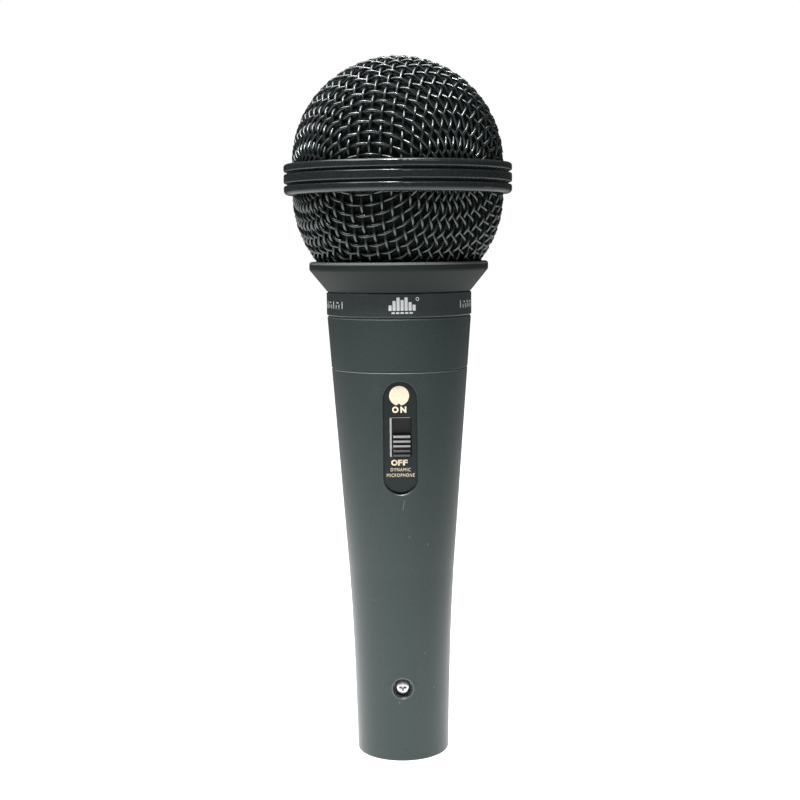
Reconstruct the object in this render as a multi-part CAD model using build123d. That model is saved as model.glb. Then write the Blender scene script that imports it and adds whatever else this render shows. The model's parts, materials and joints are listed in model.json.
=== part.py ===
from build123d import *
import math
import os

# Handheld dynamic vocal microphone: woven ball grille, name band, tapered die-cast handle with an
# on/off slide switch, and a three-pin male connector in the tail.
# Millimetres. The axis of the microphone is Z, the tail rim lies on z = 0, the switch faces -Y.

os.makedirs("parts", exist_ok=True)

# handle
TAIL_R = 11.3            # outside radius at the tail rim
BEND_LOW = (11.63, 14.0)    # radius, height where the tail starts to flare
BEND_HIGH = (12.95, 46.0)   # radius, height where the straight taper starts
NECK_R, NECK_Z = 17.5, 108.5   # outside radius and height of the shoulder under the name band
SEAM_Z = 95.9            # joint between barrel and neck sleeve
HANDLE_WALL = 1.9
NECK_SPIGOT_R, NECK_SPIGOT_Z = 14.2, 92.0
NECK_BORE_R = 12.9
THREAD_R, THREAD_TOP = 15.2, 121.0   # male thread of the neck
THREAD_PITCH, THREAD_DEPTH = 1.0, 0.5
THREAD_Z0, THREAD_TURNS = 114.4, 6
TAPER = (NECK_R - BEND_HIGH[0]) / (NECK_Z - BEND_HIGH[1])

# grille head
BALL_R = 25.5            # outside radius over the woven wire
MESH_T = 1.2             # two wires thick
DOME_Z = 145.0           # centre of the upper half
BASKET_Z = 137.5         # centre of the lower half
SKIRT_GAP = (141.0, 141.5)  # the two mesh edges meet behind the belt
BELT_R = 27.5
BELT_Z = (137.6, 144.9)
BELT_GROOVE_R, BELT_GROOVE_W = 26.7, 0.5
BELT_GROOVES_Z = (140.05, 142.8)
INNER_RING_T, INNER_RING_Z = 1.0, (137.5, 145.0)
FOAM_T = 2.3
COLLAR_Z = (114.5, 121.6)
COLLAR_R = 21.7
COLLAR_BORE_R = THREAD_R + 0.1
MESH_SEAT_Z = 119.5      # shoulder of the collar under the mesh edge
CLAMP_R, CLAMP_TOP = 15.8, 122.0
BAND_R, BAND_Z = 17.6, (108.65, 114.35)

# capsule
CUP_R, CUP_Z = 14.8, (123.0, 134.5)
TUBE_R, TUBE_WALL, TUBE_Z0 = 11.5, 1.3, 104.0
MOTOR_R = TUBE_R - TUBE_WALL
YOKE_Z0, FRONT_PLATE_Z = 110.0, (121.5, 124.5)
COIL_R = (5.95, 6.45)
COIL_GAP = 0.35
DIAPHRAGM_Z = 128.5
DIAPHRAGM_T = 0.15
DIAPHRAGM_R = 12.9

# switch
PLATE_L, PLATE_W, PLATE_T = 26.2, 7.5, 0.8
PLATE_SINK = 0.6         # plate surface below the crest of the handle
PLATE_GAP = 0.2          # round the plate in its recess, and a little more below it
PLATE_GAP_BELOW = 0.8
PLATE_Z = 80.45          # height of the middle of the plate
WINDOW_L, WINDOW_W = 9.5, 5.0
KNOB_L, KNOB_W = 5.1, 4.15
KNOB_X, KNOB_Y = 0.33, -2.13   # the knob sits off to one side and low in the window, when off
TRAVEL = 3.4
RIB_PITCH, RIB_W = 1.13, 0.5
FLANGE_W, FLANGE_L = 5.8, WINDOW_L + TRAVEL + 0.1
FLANGE_ROOM_L = FLANGE_L + TRAVEL + 0.2
BOSS_FLOOR = 3.0         # inside face of the switch boss, below the crest
HOUSING_L, HOUSING_W, HOUSING_H = 15.0, 8.0, 5.0
SWITCH_SCREW_Y = 9.95
SWITCH_SCREW_HEAD_R = 1.4

# tail connector
INSERT_R, INSERT_TOP = 9.3, 22.0
SOCKET_R, SOCKET_FLOOR = 8.15, 15.5
MOUTH_R, MOUTH_Z = 8.4, (0.4, 2.7)
PIN_R, PIN_CIRCLE_R, PIN_TIP_Z = 1.2, 4.0, 3.2
SHANK_R, CUP_OUT_R, CUP_IN_R = 0.8, 1.6, 0.9
LOCK_SCREW_Z = 18.4
LOCK_HEAD_R = 1.9
LOCK_HOLE_R, LOCK_HOLE_MOUTH_R = 2.3, 2.7
LEAD_R = 0.5


def turned(*pts):
    """Solid of revolution about Z from a closed outline of (radius, height) corners."""
    return revolve(Plane.XZ * make_face(Polyline(*pts, close=True)), Axis.Z)


def ring(r_in, r_out, z0, z1):
    return turned((r_in, z0), (r_out, z0), (r_out, z1), (r_in, z1))


def rod(r, z0, z1):
    return Pos(0, 0, z0) * Cylinder(r, z1 - z0, align=(Align.CENTER, Align.CENTER, Align.MIN))


def ball(r, z):
    return Pos(0, 0, z) * Sphere(r)


def around(r, count, turn=0.0):
    """Places evenly spaced on a circle about Z."""
    return [Rot(0, 0, turn + 360 * i / count) * Pos(r, 0, 0) for i in range(count)]


def handle_solid(inset):
    """The handle's outer form, taken in by a wall thickness."""
    foot = Line((TAIL_R - inset, 0), (BEND_LOW[0] - inset, BEND_LOW[1]))
    bend = TangentArc(foot @ 1, (BEND_HIGH[0] - inset, BEND_HIGH[1]), tangent=foot % 1)
    taper = Line(bend @ 1, (NECK_R - inset, NECK_Z))
    back = Polyline(taper @ 1, (0, NECK_Z), (0, 0), foot @ 0)
    return revolve(Plane.XZ * make_face(foot + bend + taper + back), Axis.Z)


def taper_r(z):
    return NECK_R - TAPER * (NECK_Z - z)


# Work plane of the switch: on the crest of the taper, x across, y up the handle, z outward.
SLOPE = math.atan(TAPER)
SWITCH = Plane(
    origin=(0, -taper_r(PLATE_Z), PLATE_Z),
    x_dir=(1, 0, 0),
    z_dir=(0, -math.cos(SLOPE), -math.sin(SLOPE)),
)


def block(width, length, top, bottom, y=0.0, x=0.0):
    """Box in the switch plane, from 'top' down to 'bottom', both measured outward."""
    middle = (top + bottom) / 2
    return SWITCH * Pos(x, y, middle) * Box(width, length, top - bottom)


def stadium(length, width, top, bottom, y=0.0):
    outline = Rot(0, 0, 90) * SlotOverall(length, width)
    return SWITCH * Pos(0, y, bottom) * extrude(outline, top - bottom)


def peg(r, top, bottom, y):
    return SWITCH * Pos(0, y, (top + bottom) / 2) * Cylinder(r, top - bottom)


def spoke(r, near, far, z):
    """Cylinder on the -Y side pointing at the axis, between two distances from it."""
    return Pos(0, -(near + far) / 2, z) * Rot(90, 0, 0) * Cylinder(r, far - near)


# ---------------------------------------------------------------- handle

def recess_rim(body):
    """Edges where the plate recess meets the outside of the handle."""
    def on_rim(edge):
        spot = SWITCH.to_local_coords(edge.center())
        return abs(spot.X) < PLATE_W and abs(spot.Y) < PLATE_L * 0.6 and -0.62 < spot.Z < 0.1

    return [edge for edge in body.edges() if on_rim(edge)]


def make_barrel():
    """Die-cast barrel: bored tail, tapered hollow, boss behind the switch, counterbored top."""
    body = handle_solid(0) & rod(30, 0, SEAM_Z)
    body = fillet(body.edges().group_by(Axis.Z)[0], 0.5)
    body = chamfer(body.edges().group_by(Axis.Z)[-1], 0.25)
    bore_r = INSERT_R + 0.1
    hollow = handle_solid(HANDLE_WALL) & rod(30, INSERT_TOP + 2, SEAM_Z)
    body -= hollow + rod(bore_r, 0, INSERT_TOP + 2) + Pos(0, 0, 0.15) * Cone(bore_r + 0.3, bore_r, 0.3)
    body -= rod(NECK_SPIGOT_R + 0.1, NECK_SPIGOT_Z - 0.2, SEAM_Z)
    boss = block(14, 22.6, -0.5, -BOSS_FLOOR) & handle_solid(1.0)
    body += boss
    recess_l = PLATE_L + PLATE_GAP + PLATE_GAP_BELOW
    body -= stadium(recess_l, PLATE_W + 2 * PLATE_GAP, 2, -PLATE_SINK - PLATE_T,
                    (PLATE_GAP - PLATE_GAP_BELOW) / 2)
    body = chamfer(recess_rim(body), 0.22)
    body -= block(6.4, FLANGE_ROOM_L, 0, -5)
    for y in (-SWITCH_SCREW_Y, SWITCH_SCREW_Y):
        body -= peg(0.9, 0, -5, y)
        sink = Cone(0.9, SWITCH_SCREW_HEAD_R + 0.1, 0.8)
        body -= SWITCH * Pos(0, y, -PLATE_SINK - PLATE_T - 0.4) * sink
    body -= spoke(LOCK_HOLE_R, 8, 13, LOCK_SCREW_Z)
    flare = Pos(0, -11.5, LOCK_SCREW_Z) * Rot(90, 0, 0) * Cone(LOCK_HOLE_R, LOCK_HOLE_MOUTH_R, 0.5)
    return body - flare


def make_neck_sleeve():
    """Sleeve plugged into the barrel; its top carries the male thread, cut here as rings."""
    body = handle_solid(0) & rod(30, SEAM_Z, NECK_Z)
    body = chamfer(body.edges().group_by(Axis.Z)[0], 0.25)
    body = chamfer(body.edges().group_by(Axis.Z)[-1], 0.3)
    body += rod(NECK_SPIGOT_R, NECK_SPIGOT_Z, SEAM_Z) + rod(THREAD_R, NECK_Z, THREAD_TOP)
    body = chamfer(body.edges().group_by(Axis.Z)[-1], 0.5)
    for i in range(THREAD_TURNS):
        z = THREAD_Z0 + i * THREAD_PITCH
        half = 0.45 * THREAD_PITCH
        body -= turned((THREAD_R + 0.01, z - half), (THREAD_R - THREAD_DEPTH, z), (THREAD_R + 0.01, z + half))
    return body - rod(NECK_BORE_R, 0, 200)


def make_name_band():
    """Loose plated ring between the shoulder and the collar, free on the neck."""
    z0, z1 = BAND_Z
    r_in, c = THREAD_R + 0.3, 0.3
    return turned((r_in, z0), (BAND_R - c, z0), (BAND_R, z0 + c), (BAND_R, z1 - c),
                  (BAND_R - c, z1), (r_in, z1))


# ---------------------------------------------------------------- grille head

def make_collar():
    """Threaded flared ring; the mesh edge sits in the dished pocket at its top."""
    z0, z1 = COLLAR_Z
    body = turned((COLLAR_BORE_R, z0), (BAND_R - 0.15, z0), (BAND_R, z0 + 0.15),
                  (COLLAR_R - 0.15, 119.5), (COLLAR_R, 119.9), (COLLAR_R, z1), (COLLAR_BORE_R, z1))
    top_edges = body.edges().group_by(Axis.Z)[-1].sort_by(SortBy.RADIUS)
    body = fillet(top_edges[-1], 0.6)
    return body - (ball(BALL_R, BASKET_Z) & rod(30, MESH_SEAT_Z, z1 + 1))


def make_collar_clamp_ring():
    """Ring pressed inside the mesh edge to hold it in the collar."""
    return ring(CLAMP_R, 22, MESH_SEAT_Z, CLAMP_TOP) & ball(BALL_R - MESH_T, BASKET_Z)


def head_form(r):
    """Closed form of the grille: lower ball, short cylinder behind the belt, upper ball."""
    return ball(r, BASKET_Z) + rod(r, BASKET_Z, DOME_Z) + ball(r, DOME_Z)


def make_grille_basket():
    shell = head_form(BALL_R) - head_form(BALL_R - MESH_T)
    return shell & rod(40, MESH_SEAT_Z, SKIRT_GAP[0])


def make_grille_dome():
    shell = head_form(BALL_R) - head_form(BALL_R - MESH_T)
    return shell & rod(40, SKIRT_GAP[1], 180)


def make_belt_ring():
    """Pressed steel belt with three beads; its inner wall grips both mesh edges."""
    z0, z1 = BELT_Z
    half = BELT_GROOVE_W / 2
    lows = [z0] + [z + half for z in BELT_GROOVES_Z]
    highs = [z - half for z in BELT_GROOVES_Z] + [z1]
    rounding = ((1.1, 0.45), (0.45, 0.45), (0.45, 0.7))
    belt = ring(BALL_R, BELT_GROOVE_R, z0 + 0.3, z1 - 0.3)
    for low, high, (r_low, r_high) in zip(lows, highs, rounding):
        bead = ring(BALL_R, BELT_R, low, high)
        crests = [e for e in bead.edges().filter_by(GeomType.CIRCLE) if e.radius > BELT_R - 0.1]
        crests.sort(key=lambda edge: edge.center().Z)
        bead = fillet(crests[0], r_low)
        crests = [e for e in bead.edges().filter_by(GeomType.CIRCLE) if e.radius > BELT_R - 0.1]
        belt += fillet(max(crests, key=lambda edge: edge.center().Z), r_high)
    return belt


def make_grille_inner_ring():
    r = BALL_R - MESH_T
    return ring(r - INNER_RING_T, r, *INNER_RING_Z)


def make_foam_windscreen():
    """Foam lining the inside of the mesh, thinner where it passes the inner ring."""
    r = BALL_R - MESH_T
    foam = (head_form(r) - head_form(r - FOAM_T)) & rod(40, CLAMP_TOP, 180)
    return foam - ring(r - INNER_RING_T, r + 1, *INNER_RING_Z)


# ---------------------------------------------------------------- capsule

def make_shock_mount():
    """Rubber sleeve and flange that float the capsule in the neck."""
    return ring(TUBE_R, NECK_BORE_R, 113, THREAD_TOP) + ring(TUBE_R, 14.7, THREAD_TOP, CUP_Z[0])


def make_capsule_housing():
    """Moulded tube for the motor, widening to a cup with a ledge for the diaphragm."""
    z0, z1 = CUP_Z
    tube = ring(MOTOR_R, TUBE_R, TUBE_Z0, z0)
    floor = ring(MOTOR_R, CUP_R, z0, z0 + 2)
    ledge = ring(12.2, CUP_R, z0 + 2, DIAPHRAGM_Z - 0.7)
    return tube + floor + ledge + ring(13.4, CUP_R, DIAPHRAGM_Z - 0.7, z1)


def make_yoke():
    """Soft-iron pot around the magnet."""
    return rod(MOTOR_R, YOKE_Z0, YOKE_Z0 + 2.5) + ring(8.6, MOTOR_R, YOKE_Z0 + 2.5, FRONT_PLATE_Z[0])


def make_front_plate():
    return ring(COIL_R[1] + COIL_GAP, MOTOR_R, *FRONT_PLATE_Z)


def make_magnet():
    return rod(7.2, YOKE_Z0 + 2.5, 119)


def make_pole_piece():
    return rod(COIL_R[0] - COIL_GAP, 119, FRONT_PLATE_Z[1])


def make_voice_coil():
    return ring(*COIL_R, 121.9, DIAPHRAGM_Z)


def make_diaphragm():
    """Thin film: domed centre over the coil and a rolled surround."""
    t = DIAPHRAGM_T

    def film(dz):
        crown = ThreePointArc((0, DIAPHRAGM_Z + 1.9 + dz), (3.5, DIAPHRAGM_Z + 1.4 + dz),
                              (COIL_R[1], DIAPHRAGM_Z + dz))
        roll = ThreePointArc(crown @ 1, (9.4, DIAPHRAGM_Z + 1.1 + dz), (12.2, DIAPHRAGM_Z + dz))
        return crown + roll + Line(roll @ 1, (DIAPHRAGM_R, DIAPHRAGM_Z + dz))

    rim = Line((DIAPHRAGM_R, DIAPHRAGM_Z), (DIAPHRAGM_R, DIAPHRAGM_Z + t))
    axis = Line((0, DIAPHRAGM_Z + 1.9), (0, DIAPHRAGM_Z + 1.9 + t))
    return revolve(Plane.XZ * make_face(film(0) + film(t) + rim + axis), Axis.Z)


def make_diaphragm_clamp():
    return ring(12.2, 13.4, DIAPHRAGM_Z + 0.85, DIAPHRAGM_Z + 2.5)


def make_capsule_front_cap():
    """Perforated cap over the diaphragm."""
    z = CUP_Z[1]
    cap = rod(CUP_R, z, z + 1.5)
    cap = chamfer(cap.edges().group_by(Axis.Z)[-1], 0.5)
    cap += ring(12.4, 13.4, DIAPHRAGM_Z + 2.5, z)
    hole = rod(1.0, z - 1, z + 3)
    cap -= hole
    for r, count in ((4.0, 6), (7.8, 12), (11.2, 18)):
        cap -= [place * hole for place in around(r, count)]
    return cap


def make_capsule_screen():
    """Fine cloth disc stuck over the perforations."""
    return rod(13.0, CUP_Z[1] + 1.5, CUP_Z[1] + 1.9)


def make_capsule_felt():
    """Acoustic resistance felt behind the motor."""
    return rod(MOTOR_R, YOKE_Z0 - 1.5, YOKE_Z0)


def capsule_tab(side):
    return Pos(side * 4, 0, 0) * Pos(0, 0, 101.5) * Box(0.5, 2.2, 8)


def make_capsule_back_cover():
    cover = rod(TUBE_R, TUBE_Z0 - 1.5, TUBE_Z0) + rod(MOTOR_R, TUBE_Z0, TUBE_Z0 + 1)
    return cover - capsule_tab(-1) - capsule_tab(1)


# ---------------------------------------------------------------- switch

def make_switch_plate():
    """Flat oval plate sunk into the handle, with the slot the knob slides in."""
    plate = stadium(PLATE_L, PLATE_W, -PLATE_SINK, -PLATE_SINK - PLATE_T)
    bevel = SWITCH * Pos(0, 0, -PLATE_SINK - 0.2) * loft([
        Rectangle(WINDOW_W - 0.02, WINDOW_L - 0.02),
        Pos(0, 0, 0.3) * Rectangle(WINDOW_W + 0.4, WINDOW_L + 0.4)])
    return plate - block(WINDOW_W, WINDOW_L, 1, -5) - bevel


def make_switch_knob():
    """Ribbed knob, drawn at the lower (off) end, with a flange trapped behind the plate."""
    knob = block(KNOB_W, KNOB_L, -0.35, -1.7, KNOB_Y, KNOB_X)
    knob += block(FLANGE_W, FLANGE_L, -1.7, -2.3, -TRAVEL / 2)
    for i in range(5):
        knob += block(KNOB_W, RIB_W, 0.15, -0.35, KNOB_Y + (i - 2) * RIB_PITCH, KNOB_X)
    return knob


def make_switch_actuator():
    return block(2.6, 3.0, -2.3, -5.5, -TRAVEL / 2)


def make_switch_contact():
    """Bridge carried by the actuator over the fixed terminals."""
    return block(5.2, 5.0, -5.5, -6.1, -TRAVEL / 2)


def make_switch_frame():
    """Stamped frame: flat screwed to the boss, two walls holding the housing."""
    top = -BOSS_FLOOR
    frame = block(9, 22.2, top, top - 0.8) - block(3.6, 8.4, 0, -5)
    for y in (-SWITCH_SCREW_Y, SWITCH_SCREW_Y):
        frame -= peg(0.8, 0, -5, y)
    for x in (-4.25, 4.25):
        frame += block(0.5, HOUSING_L, top - 0.8, top - 4.6, 0, x)
    return frame


def switch_tab(side):
    return block(1.6, 0.4, -6.6, -11.3, 2.6, side * 1.7)


def make_switch_housing():
    top = -BOSS_FLOOR - 0.8
    body = block(HOUSING_W, HOUSING_L, top, top - HOUSING_H)
    body -= block(3.6, 8.4, 0, -6)
    body -= block(6.2, 10.4, top - 1, top - 4)
    return body - switch_tab(-1) - switch_tab(1)


def make_switch_screw(y):
    """Countersunk slotted screw, hidden under the plate."""
    top = -PLATE_SINK - PLATE_T
    head = SWITCH * Pos(0, y, top - 0.4) * Cone(0.8, SWITCH_SCREW_HEAD_R, 0.8)
    return head + peg(0.8, top - 0.8, -4.6, y) - block(2.0, 0.4, 0, top - 0.35, y)


# ---------------------------------------------------------------- tail connector

def make_xlr_shell():
    """Metal shell of the male insert: lead-in at the mouth, latch notch inside."""
    shell = ring(SOCKET_R, INSERT_R, MOUTH_Z[0], INSERT_TOP)
    shell -= rod(MOUTH_R, MOUTH_Z[0] - 1, MOUTH_Z[1])
    shell -= Pos(0, SOCKET_R, 9.5) * Box(4.2, 1.4, 3.4)
    return shell - spoke(1.0, 5, 10, LOCK_SCREW_Z)


def pin_places():
    return around(PIN_CIRCLE_R, 3, 90)


def make_xlr_insulator():
    body = rod(SOCKET_R, SOCKET_FLOOR, INSERT_TOP)
    body -= [place * rod(SHANK_R, SOCKET_FLOOR - 1, INSERT_TOP + 1) for place in pin_places()]
    return body - spoke(1.0, 6.4, 10, LOCK_SCREW_Z)


def make_xlr_pin(place):
    """Contact pin: round-nosed front, thinner shank in the insulator, solder cup behind."""
    front = rod(PIN_R, PIN_TIP_Z, SOCKET_FLOOR)
    front = fillet(front.edges().group_by(Axis.Z)[0], 0.8)
    cup = rod(CUP_OUT_R, INSERT_TOP, INSERT_TOP + 4) - rod(CUP_IN_R, INSERT_TOP + 1, INSERT_TOP + 5)
    return place * (front + rod(SHANK_R, SOCKET_FLOOR, INSERT_TOP) + cup)


def make_lock_screw():
    """Cross-recessed pan-head screw locking the insert, reached through the barrel."""
    seat = INSERT_R
    head = spoke(LOCK_HEAD_R, seat, seat + 1.5, LOCK_SCREW_Z)
    head = fillet(head.edges().group_by(Axis.Y)[0], 0.6)
    drive = Pos(0, -seat - 1.5, LOCK_SCREW_Z) * (Box(2.0, 1.6, 0.5) + Box(0.5, 1.6, 2.0))
    return head + spoke(1.0, 6.4, seat, LOCK_SCREW_Z) - drive


def make_ground_washer():
    return ring(7.4, 9.2, INSERT_TOP, INSERT_TOP + 0.4)


# ---------------------------------------------------------------- wiring

def lead(*pts):
    """Round hook-up wire along a path with eased corners."""
    path = FilletPolyline(*pts, radius=1.5)
    return sweep(Plane(origin=path @ 0, z_dir=path % 0) * Circle(LEAD_R), path=path)


def switch_point(x, y, z):
    return tuple(SWITCH.from_local_coords((x, y, z)))


def make_capsule_lead(side):
    """From a tab under the capsule down to the upper face of a switch terminal."""
    return lead((side * 4, 0, 97.5), (side * 4, 0, 93),
                switch_point(side * 1.7, 8.5, -10), switch_point(side * 1.7, 2.8, -10))


def make_tail_lead(side):
    """From the lower face of a switch terminal down to a pin's solder cup."""
    x = side * PIN_CIRCLE_R * math.cos(math.radians(30))
    y = -PIN_CIRCLE_R / 2
    return lead(switch_point(side * 1.7, 2.4, -10), switch_point(side * 1.7, -14, -10),
                (x, y, 36), (x, y, INSERT_TOP + 1))


def make_ground_lead():
    y = 8.3
    return lead((0, PIN_CIRCLE_R, INSERT_TOP + 1), (0, PIN_CIRCLE_R, 30), (0, y, 30),
                (0, y, INSERT_TOP + 0.4))


PINS = pin_places()
NODES = {
    "barrel": make_barrel(),
    "neck_sleeve": make_neck_sleeve(),
    "name_band": make_name_band(),
    "collar": make_collar(),
    "collar_clamp_ring": make_collar_clamp_ring(),
    "grille_basket": make_grille_basket(),
    "grille_dome": make_grille_dome(),
    "belt_ring": make_belt_ring(),
    "grille_inner_ring": make_grille_inner_ring(),
    "foam_windscreen": make_foam_windscreen(),
    "shock_mount": make_shock_mount(),
    "capsule_housing": make_capsule_housing(),
    "yoke": make_yoke(),
    "front_plate": make_front_plate(),
    "magnet": make_magnet(),
    "pole_piece": make_pole_piece(),
    "voice_coil": make_voice_coil(),
    "diaphragm": make_diaphragm(),
    "diaphragm_clamp": make_diaphragm_clamp(),
    "capsule_front_cap": make_capsule_front_cap(),
    "capsule_screen": make_capsule_screen(),
    "capsule_felt": make_capsule_felt(),
    "capsule_back_cover": make_capsule_back_cover(),
    "capsule_tab_cold": capsule_tab(-1),
    "capsule_tab_hot": capsule_tab(1),
    "switch_plate": make_switch_plate(),
    "switch_knob": make_switch_knob(),
    "switch_actuator": make_switch_actuator(),
    "switch_contact": make_switch_contact(),
    "switch_frame": make_switch_frame(),
    "switch_housing": make_switch_housing(),
    "switch_tab_cold": switch_tab(-1),
    "switch_tab_hot": switch_tab(1),
    "switch_screw_lower": make_switch_screw(-SWITCH_SCREW_Y),
    "switch_screw_upper": make_switch_screw(SWITCH_SCREW_Y),
    "xlr_shell": make_xlr_shell(),
    "xlr_insulator": make_xlr_insulator(),
    "xlr_pin_1": make_xlr_pin(PINS[0]),
    "xlr_pin_2": make_xlr_pin(PINS[2]),
    "xlr_pin_3": make_xlr_pin(PINS[1]),
    "xlr_lock_screw": make_lock_screw(),
    "xlr_ground_washer": make_ground_washer(),
    "capsule_lead_cold": make_capsule_lead(-1),
    "capsule_lead_hot": make_capsule_lead(1),
    "tail_lead_cold": make_tail_lead(-1),
    "tail_lead_hot": make_tail_lead(1),
    "ground_lead": make_ground_lead(),
}

for name, solid in NODES.items():
    export_step(solid, f"parts/{name}.step")
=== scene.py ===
# Handheld dynamic microphone with an on/off slide switch, standing on its tail on a pale table.
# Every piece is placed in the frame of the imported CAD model; lengths are metres.
import json
import math

import bmesh
import bpy
from mathutils import Matrix, Vector, noise


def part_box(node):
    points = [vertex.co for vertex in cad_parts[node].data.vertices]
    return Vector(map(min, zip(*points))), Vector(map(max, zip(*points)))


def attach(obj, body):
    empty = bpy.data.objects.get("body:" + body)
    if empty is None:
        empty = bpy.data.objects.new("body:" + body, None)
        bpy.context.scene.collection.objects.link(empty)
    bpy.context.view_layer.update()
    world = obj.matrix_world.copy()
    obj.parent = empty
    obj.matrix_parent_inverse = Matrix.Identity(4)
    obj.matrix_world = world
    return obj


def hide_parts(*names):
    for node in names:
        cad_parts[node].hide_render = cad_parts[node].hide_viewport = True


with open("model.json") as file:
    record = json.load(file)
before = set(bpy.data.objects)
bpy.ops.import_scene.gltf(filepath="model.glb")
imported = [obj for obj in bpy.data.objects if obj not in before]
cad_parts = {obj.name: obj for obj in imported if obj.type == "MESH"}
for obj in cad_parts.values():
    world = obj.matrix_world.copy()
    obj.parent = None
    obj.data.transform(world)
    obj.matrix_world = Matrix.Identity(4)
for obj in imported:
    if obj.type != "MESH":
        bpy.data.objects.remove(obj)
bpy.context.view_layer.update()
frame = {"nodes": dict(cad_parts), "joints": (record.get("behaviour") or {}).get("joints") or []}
nodes_of_cad = frame["nodes"]

# ---------------------------------------------------------------- table and light
# A pale sheet on a table in a dim room. It glows softly round the microphone, so that light comes up
# the lower end, and four soft boxes stand overhead, at each side and high in front. Far off, sheet
# and room are white to look at but give next to no light.
MM = 0.001
WHITE = (1, 1, 1, 1)
TABLE_RADIUS = 8.0
SHEET_COLOUR, SHEET_ROUGHNESS, SHEET_SPECULAR = (0.9, 0.9, 0.9, 1), 0.85, 0.2
SHEET_WHITE_FROM, SHEET_WHITE_FULL = 0.05, 0.45
POOL_GLOW, POOL_FULL_R, POOL_END_R, POOL_X = 1.05, 0.04, 0.30, -0.045
ROOM_GLOW = 0.05


def worked_out(tree, kind, operation, *given):
    """A node that works something out of sockets and constants, given in the order of its inputs."""
    made = tree.nodes.new(kind)
    made.operation = operation
    for socket, value in zip(made.inputs, given):
        if isinstance(value, bpy.types.NodeSocket):
            tree.links.new(value, socket)
        else:
            socket.default_value = value
    return made


def ranged(tree, value, start, end, to_start=0, to_end=1, curve="LINEAR"):
    """Maps a value that goes from start to end onto another range, and holds it at both ends."""
    made = tree.nodes.new("ShaderNodeMapRange")
    made.interpolation_type = curve
    made.inputs["From Min"].default_value = start
    made.inputs["From Max"].default_value = end
    made.inputs["To Min"].default_value = to_start
    made.inputs["To Max"].default_value = to_end
    tree.links.new(value, made.inputs["Value"])
    return made.outputs["Result"]


sheet_form = bmesh.new()
bmesh.ops.create_circle(sheet_form, cap_ends=True, segments=96, radius=TABLE_RADIUS)
sheet_mesh = bpy.data.meshes.new("table_sheet")
sheet_form.to_mesh(sheet_mesh)
sheet_form.free()
table_sheet = bpy.data.objects.new("table_sheet", sheet_mesh)
bpy.context.scene.collection.objects.link(table_sheet)
sheet_paper = bpy.data.materials.new("sheet_paper")
sheet_paper.use_nodes = True
sheet_tree = sheet_paper.node_tree
paper = sheet_tree.nodes["Principled BSDF"]
paper.inputs["Base Color"].default_value = SHEET_COLOUR
paper.inputs["Roughness"].default_value = SHEET_ROUGHNESS
paper.inputs["Specular IOR Level"].default_value = SHEET_SPECULAR
paper.inputs["Emission Color"].default_value = WHITE
place = sheet_tree.nodes.new("ShaderNodeTexCoord").outputs["Object"]
looked_at = sheet_tree.nodes.new("ShaderNodeLightPath").outputs["Is Camera Ray"]
from_axis = worked_out(sheet_tree, "ShaderNodeVectorMath", "LENGTH", place)
far_white = ranged(sheet_tree, from_axis.outputs["Value"], SHEET_WHITE_FROM, SHEET_WHITE_FULL)
seen_white = worked_out(sheet_tree, "ShaderNodeMath", "MULTIPLY", far_white, looked_at)
from_pool = worked_out(sheet_tree, "ShaderNodeVectorMath", "DISTANCE", place, (POOL_X, 0, 0))
pool = ranged(
    sheet_tree, from_pool.outputs["Value"], POOL_END_R, POOL_FULL_R, 0, POOL_GLOW, "SMOOTHERSTEP")
sheet_glow = worked_out(sheet_tree, "ShaderNodeMath", "ADD", seen_white.outputs["Value"], pool)
sheet_tree.links.new(sheet_glow.outputs["Value"], paper.inputs["Emission Strength"])
sheet_mesh.materials.append(sheet_paper)

room = bpy.data.worlds.new("room")
bpy.context.scene.world = room
room.use_nodes = True
walls = room.node_tree.nodes["Background"]
walls.inputs["Color"].default_value = WHITE
looked_out = room.node_tree.nodes.new("ShaderNodeLightPath").outputs["Is Camera Ray"]
room.node_tree.links.new(
    ranged(room.node_tree, looked_out, 0, 1, ROOM_GLOW, 1), walls.inputs["Strength"])

LIT_PLACE = Vector((0, 0, 0.1))
SOFT_BOXES = (
    # name, azimuth from the front, height angle, distance, side, power
    ("overhead_box", -90, 80, 0.42, 0.36, 2.8),
    ("left_box", -48, 50, 0.75, 0.28, 1.3),
    ("right_box", 40, 50, 0.75, 0.28, 0.35),
    ("front_box", -12, 67, 0.50, 0.08, 2.6),
)
for name, azimuth, height, distance, side, power in SOFT_BOXES:
    lamp = bpy.data.lights.new(name, "AREA")
    lamp.shape = "SQUARE"
    lamp.size = side
    lamp.energy = power
    box = bpy.data.objects.new(name, lamp)
    bpy.context.scene.collection.objects.link(box)
    a, h = math.radians(azimuth), math.radians(height)
    away = Vector((math.sin(a) * math.cos(h), -math.cos(a) * math.cos(h), math.sin(h)))
    box.location = LIT_PLACE + away * distance
    box.rotation_euler = (-away).to_track_quat("-Z", "Y").to_euler()

CAMERA_PLACE = (0.0, -0.349, 0.1268)
CAMERA_PITCH, CAMERA_ROLL = 6.4, -0.56
CAMERA_LENS, CAMERA_SENSOR, CAMERA_NEAR = 64.35, 36, 0.01
camera_data = bpy.data.cameras.new("camera")
camera_data.lens = CAMERA_LENS
camera_data.sensor_width = CAMERA_SENSOR
camera_data.clip_start = CAMERA_NEAR
camera = bpy.data.objects.new("camera", camera_data)
bpy.context.scene.collection.objects.link(camera)
camera.matrix_world = (
    Matrix.Translation(CAMERA_PLACE)
    @ Matrix.Rotation(math.radians(90 - CAMERA_PITCH), 4, "X")
    @ Matrix.Rotation(math.radians(CAMERA_ROLL), 4, "Z")
)
bpy.context.scene.camera = camera
bpy.context.scene.view_settings.view_transform = "Standard"

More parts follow.
